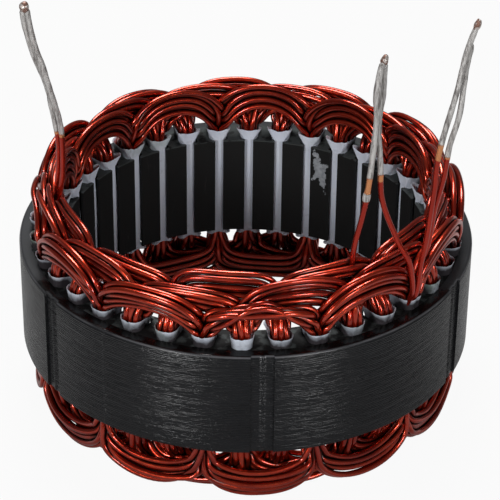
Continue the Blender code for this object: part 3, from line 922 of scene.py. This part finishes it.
def leg_cells(wave, ring_radius):
    """For each wire of a wave, lowest first: its column in the slot, and its row's radius.

    The five wires nearest the arch fill one side column, and the two highest share the
    middle one with the slot's other wave. Rows near the wave's own ring come first. The row
    nearest the bore stands closer together, as the liner is narrow there.
    """
    side = LEG_ROWS[np.argsort(np.abs(LEG_ROWS - ring_radius), kind="stable")]
    middle = LEG_ROWS[[1, 3]] if wave == "a" else LEG_ROWS[[2, 4]]
    middle = middle[np.argsort(np.abs(middle - ring_radius), kind="stable")]
    beside = np.where(side == LEG_ROWS[0], INNER_COLUMN, 1.0)
    columns = np.concatenate((beside, np.zeros(len(middle))))
    return columns[:, None, None], np.concatenate((side, middle))[:, None, None]


def by_arch(sizes, phase, first_slot):
    """The size given for each upper arch of a wave, by phase and first slot, or 0."""
    found = np.zeros(PER_HANK)
    for arch in range(0, ARCHES, 2):
        found[0, arch] = sizes.get((phase, (first_slot + ARCH_SPAN * arch) % SLOT_COUNT), 0.0)
    return found


def closed_up(crown):
    """Raises each crown that is more than WIDEST_STEP below the next wire's, top wire first."""
    for wire in range(WIRES_PER_WAVE - 2, -1, -1):
        crown[wire] = np.maximum(crown[wire], crown[wire + 1] - WIDEST_STEP)
    return crown


def crown_levels(phase, first_slot, upper, share, dice):
    """How high each arch's crown stands above the core's face."""
    crown = LOW_CROWN[phase] + (HIGH_CROWN - LOW_CROWN[phase]) * share
    crown = crown + dice.normal(0.0, CROWN_JITTER, PER_WIRE)
    crown = np.minimum(crown - dice.uniform(0.0, CROWN_JITTER, PER_HANK), HIGH_CROWN)
    crown = crown - by_arch(PRESSED_DOWN, phase, first_slot) * (0.25 + 0.75 * share)
    crown = crown + np.where(upper, LIFT[phase] * share, 0.0)
    return closed_up(crown + by_arch(BUNCHED, phase, first_slot) * (1 - share))


def arch_fullness(phase, middle, upper, share, dice):
    """The powers that shape each arch: the higher, the fuller its top and its sides."""
    loose = LOOSENESS[phase]
    across, down, behind = FULLNESS[phase]
    fuller = np.where(upper, behind * np.cos(middle), FULLER_BELOW)
    top = across + 0.5 * share * loose + dice.uniform(-0.3, 0.3, PER_HANK)
    top = top + loose * dice.uniform(-0.3, 0.3, PER_WIRE)
    sides = down + 0.4 * share * loose + dice.uniform(-0.2, 0.3, PER_HANK)
    sides = sides + loose * dice.uniform(-0.2, 0.2, PER_WIRE)
    return top + fuller, sides + fuller


def wave_of_wires(phase, wave, first_slot, dice):
    """The middle lines of one wave's wires, as angle, radius and height above mid-core.

    A wire rises from its place in the slot to a shoulder, and its radius eases to that of
    the phase's ring. From shoulder to shoulder, three slots on, runs an arch: a superellipse
    with height = (1 - |q|^a)^(1/b) of the crown's rise for q from -1 to 1 across the arch.
    """
    wire = np.arange(WIRES_PER_WAVE)[:, None, None]
    arch = np.arange(ARCHES)[None, :, None]
    upper = arch % 2 == 0
    share = wire / (WIRES_PER_WAVE - 1)
    zigzag = np.where(wire % 2 == 0, -1.0, 1.0)
    loose = LOOSENESS[phase]
    half_span = ARCH_SPAN / 2 * SLOT_PITCH
    middle = (first_slot + ARCH_SPAN * (arch + 0.5)) * SLOT_PITCH
    ring = RING_RADIUS[phase] + RING_ZIGZAG * zigzag + dice.normal(0.0, 0.00015, PER_WIRE)
    column, leg_radius = leg_cells(wave, RING_RADIUS[phase])
    crown = crown_levels(phase, first_slot, upper, share, dice)
    shoulder = LOW_SHOULDER + SHOULDER_PER_TRAVEL * np.abs(leg_radius - ring)
    shoulder = shoulder + MIDDLE_COLUMN_RISE * (column < 0.5) + np.where(upper, 0.0, STRAIGHT_BELOW)
    shoulder = np.minimum(shoulder + dice.normal(0.0, 0.0003, PER_WIRE), crown - LEAST_RISE)
    top, sides = arch_fullness(phase, middle, upper, share, dice)
    lean = loose * dice.normal(0.0, 0.16, PER_WIRE) + dice.normal(0.0, 0.08, PER_HANK)
    q = np.sin(np.linspace(-math.pi / 2, math.pi / 2, ARCH_POINTS))
    leaned = q + lean * (1 - q * q)
    rise = np.maximum(1 - np.abs(leaned) ** top, 0.0) ** (1 / sides)
    t = np.linspace(0.0, 1.0, RISER_POINTS, endpoint=False)
    turn = ease(t, 0.0, 1.0)
    foot = half_span - column * LEG_PITCH / leg_radius
    fork = half_span - (LOW_FORK * (1 - share) + HIGH_FORK[phase] * share) / ring
    beside = foot * (1 - turn) + fork * turn
    up = LEG_TOP + (shoulder - LEG_TOP) * t
    off_middle = np.concatenate((-beside, leaned * fork, beside[..., ::-1]), 2)
    height = np.concatenate((up, shoulder + (crown - shoulder) * rise, up[..., ::-1]), 2)
    outward = ease(height, LEG_TOP, shoulder + 0.0022)
    shift = loose * dice.normal(0.0, 0.0005, PER_WIRE) - by_arch(PUSHED_IN, phase, first_slot)
    shift = shift + BUNCH_SPREAD * zigzag * by_arch(BUNCHED, phase, first_slot)
    radius = leg_radius * (1 - outward) + ring * outward + shift * ease(height, shoulder, crown)
    reach = np.where(upper, 1.0, -1.0) * (height + CORE_HALF)
    return with_legs(np.stack(np.broadcast_arrays(middle + off_middle, radius, reach), -1))


def with_legs(arches):
    """Joins each arch to the next one by a leg through the slot."""
    last = arches[:, :, -1]
    following = np.roll(arches[:, :, 0], -1, 1)
    following[:, -1, 0] += math.tau
    share = np.linspace(0.0, 1.0, LEG_POINTS + 2)[1:-1][None, None, :, None]
    legs = last[:, :, None] * (1 - share) + following[:, :, None] * share
    return np.concatenate((arches, legs), 2)


def rounded_bends(points, free, rounds):
    """Rounds the bends: each free point moves to the average of itself and its neighbours."""
    for _ in range(rounds):
        average = 0.5 * points + 0.25 * (np.roll(points, 1, 1) + np.roll(points, -1, 1))
        points = points + (average - points) * free
    return points


def with_leads(paths, leads):
    """All points of the wires and the leads in one list, and which wire each is on, or -1."""
    wires, count = paths.shape[:2]
    label = np.concatenate((np.repeat(np.arange(wires), count), np.full(len(leads), -1)))
    return np.concatenate((paths.reshape(-1, 3), leads)), label


def ease_apart(points, free, leads, rounds):
    """Pushes wires apart where their middle lines pass within one diameter of each other.

    All points are put in order of angle and each is compared with its next neighbours in
    that order. Every push is smoothed along its wire. The legs and the leads stay still.
    """
    wires, count = points.shape[:2]
    moved = np.zeros_like(points)
    step = np.concatenate((np.tile(np.arange(count), wires), np.zeros(len(leads), int)))
    for _ in range(rounds):
        place, label = with_leads(points + moved, leads)
        angle = np.arctan2(place[:, 0], place[:, 1])
        push = np.zeros_like(place)
        for side in (place[:, 2] > CORE_TOP, place[:, 2] < CORE_BOTTOM):
            near = np.flatnonzero(side & (place[:, 2] < CORE_TOP + 0.02))
            near = near[np.argsort(angle[near])]
            push[near] += pushes(place[near], label[near], step[near], count)
        moved = moved + 0.9 * push[:wires * count].reshape(points.shape) * free
        for _ in range(2):
            moved = 0.5 * moved + 0.25 * (np.roll(moved, 1, 1) + np.roll(moved, -1, 1))
        moved = keep_inside(points, moved) * free
    return points + moved


def pushes(place, label, step, count):
    """Half of what each pair lacks of one diameter, along the line between the two points."""
    total = np.zeros_like(place)
    for shift in range(1, PUSHED_NEIGHBOURS):
        apart = np.roll(place, -shift, 0) - place
        distance = np.linalg.norm(apart, axis=1) + 1e-9
        along = np.abs(np.roll(step, -shift) - step)
        own = (np.roll(label, -shift) == label) & (np.minimum(along, count - along) < 8)
        lacking = np.where((distance < WIRE_DIAMETER) & ~own, WIRE_DIAMETER - distance, 0.0)
        half = apart * (0.5 * lacking / distance)[:, None]
        total -= half
        total += np.roll(half, shift, 0)
    return total


def shade_between_wires(paths, leads):
    """How closely another wire faces each point of each wire's skin, from 0 to 1, which sets where the
    enamel gets painted shade.

    It is the squared cosine between the skin's direction and the way to the other wire's
    middle line, fading out as the gap between the wires grows to 0.4 of a diameter.
    """
    wires, count = paths.shape[:2]
    skins = [tube(path, 2.0, WIRE_SIDES, True) - path[:, None] for path in paths]
    skins = np.concatenate(skins + [np.zeros((len(leads), WIRE_SIDES, 3))])
    place, label = with_leads(paths, leads)
    order = np.argsort(np.arctan2(place[:, 0], place[:, 1]))
    order = order[np.abs(place[order, 2] - CORE_MIDDLE) < 0.04]
    place, label, near = place[order], label[order], skins[order]
    closed = np.zeros(near.shape[:2])
    for shift in range(1, SHADED_NEIGHBOURS):
        way = np.roll(place, -shift, 0) - place
        distance = np.linalg.norm(way, axis=1) + 1e-9
        close = np.clip((1.4 * WIRE_DIAMETER - distance) / (0.35 * WIRE_DIAMETER), 0.0, 1.0)
        close = close * (np.roll(label, -shift) != label)
        way = way / distance[:, None]
        facing = np.clip((near * way[:, None]).sum(-1), 0.0, 1.0) ** 2 * close[:, None]
        closed = np.maximum(closed, facing)
        behind = np.roll(way, shift, 0)
        facing = np.clip(-(near * behind[:, None]).sum(-1), 0.0, 1.0) ** 2
        closed = np.maximum(closed, facing * np.roll(close, shift)[:, None])
    result = np.zeros(skins.shape[:2])
    result[order] = closed
    return result[:wires * count].reshape(wires, count, WIRE_SIDES)


def keep_inside(points, moved):
    """Holds the wires between the bore and the clamped rim, and below the crowns' level."""
    place = points + moved
    reach = np.hypot(place[..., 0], place[..., 1])
    place[..., :2] *= (np.clip(reach, *WIRE_REACH) / reach)[..., None]
    high = place[..., 2] - CORE_MIDDLE
    limit = CORE_HALF + HIGH_CROWN + np.where(high > 0, max(LIFT.values()), 0.0)
    place[..., 2] = CORE_MIDDLE + np.clip(high, -limit, limit)
    return place - points


def finish_enamel():
    """Clear red enamel on copper: metal below, gloss on top, and painted shade where the wires lie
    close together.
    """
    enamel = Finish("red_enamel", IOR=1.5, Coat_Roughness=0.05, Coat_IOR=1.6)
    tone = enamel.attribute("tone")
    cloud = enamel.levels(enamel.noise(0.009, 3.0), (0.35, 0.0), (0.7, 1.0))
    deep = enamel.blend(tone, rgb(0.27, 0.012, 0.004), rgb(0.48, 0.030, 0.010))
    base = enamel.blend(cloud, deep, rgb(0.60, 0.052, 0.017))
    # Painted shade: the enamel is darker, rougher and less glossy where another wire lies close
    patchy = enamel.attribute("crevice") + 0.5 * (enamel.noise(0.0025, 3.0) - 0.5)
    painted_shade = enamel.levels(patchy, (0.12, 0.0), (0.64, 1.0))
    enamel.paint("Base Color", enamel.blend(painted_shade, base, rgb(0.016, 0.005, 0.003)))
    enamel.paint("Metallic", 0.88)
    enamel.paint("Roughness", 0.24 + 0.06 * tone + 0.15 * painted_shade)
    enamel.paint("Coat Weight", 0.6 - 0.4 * painted_shade)
    enamel.paint("Normal", enamel.relief(enamel.noise(0.003, 2.0), 0.00012))
    return enamel


red_enamel = finish_enamel()
WAVES = [("u", "a", 2), ("u", "b", 5), ("v", "a", 0), ("v", "b", 3), ("w", "a", 1), ("w", "b", 4)]
lines = []
for number, (phase, wave, first_slot) in enumerate(WAVES):
    lines.append(wave_of_wires(phase, wave, first_slot, np.random.default_rng(100 + number)))
lines = np.stack(lines)
paths = around(lines[..., 0], lines[..., 1], lines[..., 2] + CORE_MIDDLE)
paths = paths.reshape(len(WAVES) * WIRES_PER_WAVE, -1, 3)
# The wires are free to move above the cuffs, which hold them
above_face = np.abs(paths[..., 2] - CORE_MIDDLE) - CORE_HALF
free = ease(above_face, 0.0026, 0.0042)[..., None]
paths = rounded_bends(paths, free, 4)
all_leads = np.concatenate(list(lead_lines.values()))
paths = ease_apart(paths, free, all_leads, 40)
# Painted shade for each wire's skin, where another wire lies close
wire_gap_shade = shade_between_wires(paths, all_leads)
tone_dice = np.random.default_rng(7)
for number, (phase, wave, _) in enumerate(WAVES):
    own = slice(number * WIRES_PER_WAVE, (number + 1) * WIRES_PER_WAVE)
    wires = paths[own]
    rings = [tube(wire, WIRE_DIAMETER * np.ones(len(wire)), WIRE_SIDES, True) for wire in wires]
    tones = tone_dice.uniform(0.0, 1.0, len(wires))
    marks = {
        "tone": np.repeat(tones, rings[0].shape[0] * rings[0].shape[1]).astype(np.float32),
        "crevice": wire_gap_shade[own].astype(np.float32),
    }
    hank = add_piece(
        f"wire_wave_{phase}_{wave}", rings, [red_enamel], closed=(True, True), marks=marks
    )
    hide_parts(f"phase_{phase}_wave_{wave}")


# The floor, the lights and the camera
# A plain white floor that keeps a faint shadow, a soft lamp above the back and two low soft
# lamps in front. The surroundings are white to the camera and dim to everything else.

# How much of the white background the floor and the world show to the camera, and to what
# mirrors or transmits it
FLOOR_SEEN = 0.94
FLOOR_MIRRORED = 0.10
WORLD_SEEN = 1.0
WORLD_MIRRORED = 0.05
FLOOR_HALF = 6.0
WORLD_STRENGTH = 0.04
# For each lamp: its place, its width and its power in watts
LAMPS = {
    "back_lamp": ((-0.06, 0.36, 0.84), 0.44, 7.0),
    "left_lamp": ((-0.47, -0.79, 0.40), 0.24, 3.4),
    "right_lamp": ((0.45, -0.76, 0.38), 0.28, 2.4),
}
LAMP_AIM = (0.0, 0.0, 0.04)
CAMERA_DISTANCE = 0.6792
CAMERA_ELEVATION = math.radians(32.675)
CAMERA_BEARING = math.radians(180.0 - 0.715)
CAMERA_ROLL = math.radians(0.59)
CAMERA_AIM = 0.03315
CAMERA_LENS = 170.4
CAMERA_SHIFT = (0.0092, 0.0516)


def show_background(finish, plain, white, output, seen, mirrored):
    """Mixes the plain shading with white that glows, by what kind of ray meets it."""
    tree = finish.tree
    rays = tree.nodes.new("ShaderNodeLightPath")
    camera, glossy, passed = (
        Signal(finish, rays.outputs[f"Is {kind} Ray"]) for kind in ("Camera", "Glossy", "Transmission")
    )
    glow = tree.nodes.new(white)
    glow.inputs["Color"].default_value = rgb(1.0, 1.0, 1.0)
    glow.inputs["Strength"].default_value = 1.0
    mix = tree.nodes.new("ShaderNodeMixShader")
    finish.feed(mix.inputs[0], seen * camera + mirrored * (glossy + passed))
    tree.links.new(plain.outputs[0], mix.inputs[1])
    tree.links.new(glow.outputs[0], mix.inputs[2])
    tree.links.new(mix.outputs[0], tree.nodes[output].inputs["Surface"])


def add_floor():
    finish = Finish("white_floor", Roughness=0.9, Specular_IOR_Level=0.0)
    finish.paint("Base Color", rgb(0.42, 0.42, 0.42))
    show_background(
        finish, finish.shader, "ShaderNodeEmission", "Material Output", FLOOR_SEEN, FLOOR_MIRRORED
    )
    corners = FLOOR_HALF * np.array([[-1, -1, 0], [1, -1, 0], [1, 1, 0], [-1, 1, 0]])
    mesh = bpy.data.meshes.new("white_floor")
    mesh.from_pydata(corners, [], [(0, 1, 2, 3)])
    mesh.materials.append(finish.material)
    floor = bpy.data.objects.new("white_floor", mesh)
    bpy.context.scene.collection.objects.link(floor)


class Surroundings(Finish):
    """The world's nodes, which have no Principled shader."""

    def __init__(self, world):
        self.tree = world.node_tree


def add_world():
    """Even pale light from all round, darker than the lamps."""
    world = bpy.data.worlds.new("pale_surroundings")
    world.use_nodes = True
    bpy.context.scene.world = world
    plain = world.node_tree.nodes["Background"]
    plain.inputs["Color"].default_value = rgb(0.94, 0.97, 1.0)
    plain.inputs["Strength"].default_value = WORLD_STRENGTH
    show_background(
        Surroundings(world), plain, "ShaderNodeBackground", "World Output", WORLD_SEEN, WORLD_MIRRORED
    )


def add_lamp(name, place, size, power):
    lamp = bpy.data.lights.new(name, "AREA")
    lamp.shape = "DISK"
    lamp.size = size
    lamp.energy = power
    holder = bpy.data.objects.new(name, lamp)
    bpy.context.scene.collection.objects.link(holder)
    holder.location = place
    holder.rotation_euler = (Vector(place) - Vector(LAMP_AIM)).to_track_quat("Z", "Y").to_euler()


def add_camera():
    data = bpy.data.cameras.new("front_camera")
    data.lens = CAMERA_LENS
    data.sensor_width = 36.0
    data.shift_x, data.shift_y = CAMERA_SHIFT
    data.clip_start = 0.05
    data.clip_end = 30.0
    camera = bpy.data.objects.new("front_camera", data)
    bpy.context.scene.collection.objects.link(camera)
    level = CAMERA_DISTANCE * math.cos(CAMERA_ELEVATION)
    x, y, _ = around(CAMERA_BEARING, level, 0.0)
    camera.location = (x, y, CAMERA_AIM + CAMERA_DISTANCE * math.sin(CAMERA_ELEVATION))
    turned_round = Matrix.Rotation(math.atan2(x, -y), 3, "Z")
    tilted_down = Matrix.Rotation(math.pi / 2 - CAMERA_ELEVATION, 3, "X")
    rolled = Matrix.Rotation(CAMERA_ROLL, 3, "Z")
    camera.rotation_euler = (turned_round @ tilted_down @ rolled).to_euler()
    bpy.context.scene.camera = camera


add_floor()
add_world()
for name, (place, size, power) in LAMPS.items():
    add_lamp(name, place, size, power)
add_camera()
bpy.context.scene.view_settings.view_transform = "Standard"
